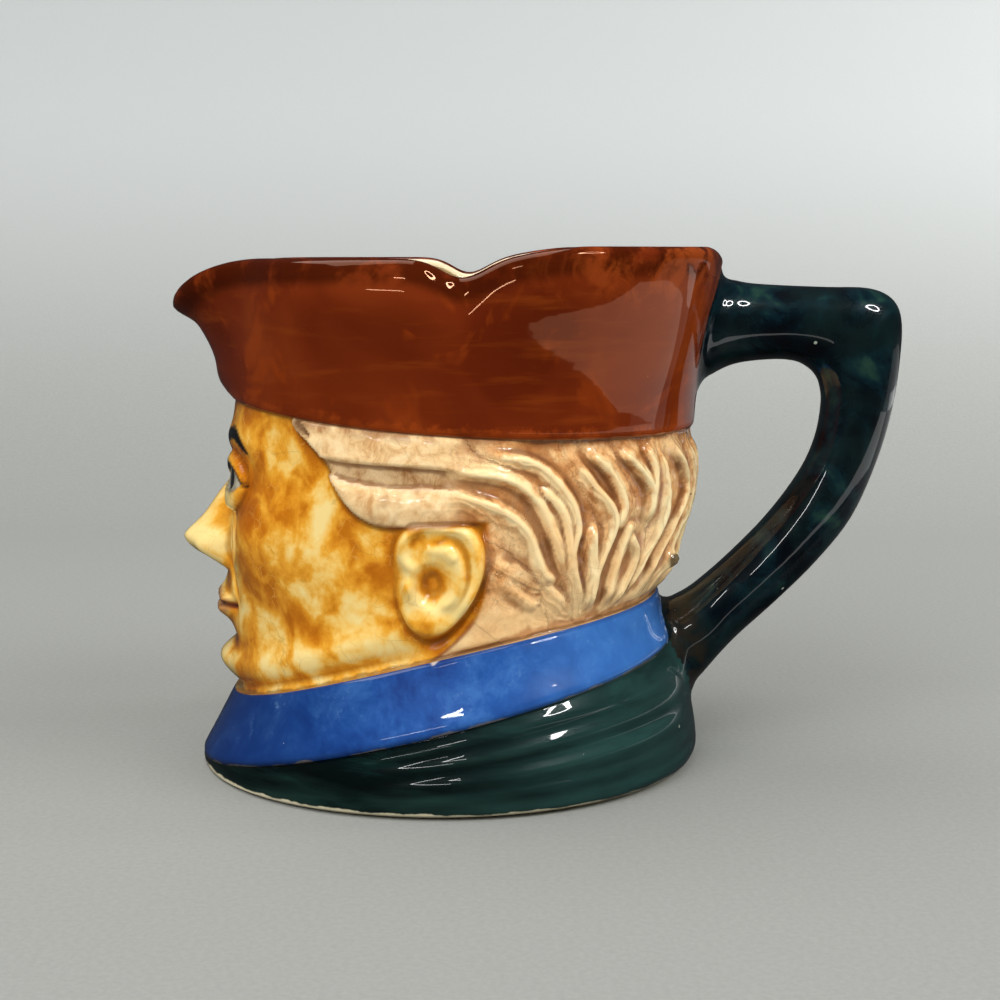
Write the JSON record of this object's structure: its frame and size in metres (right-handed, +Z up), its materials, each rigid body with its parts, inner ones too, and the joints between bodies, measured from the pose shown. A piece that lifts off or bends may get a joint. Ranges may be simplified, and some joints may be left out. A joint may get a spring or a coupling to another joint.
{
  "type": "toby jug",
  "caption": "Small glazed earthenware character jug: a head in a pulled-down hat forms the hollow bowl, with a pinched pouring lip, broad collar, coat and a loop handle at the back.",
  "frame": {"origin": "middle of the flat underside, on the surface that the jug stands on", "axes": "+Z up; the face and the pouring lip look along -Y; the handle is on +Y; X runs from ear to ear"},
  "size_m": [0.087, 0.128, 0.0903],
  "materials": {
    "glazed_earthenware": "hand-painted under a clear, crazed, high-gloss lead glaze"
  },
  "bodies": {
    "root": {"toby_jug": "glazed_earthenware"}
  },
  "joints": []
}
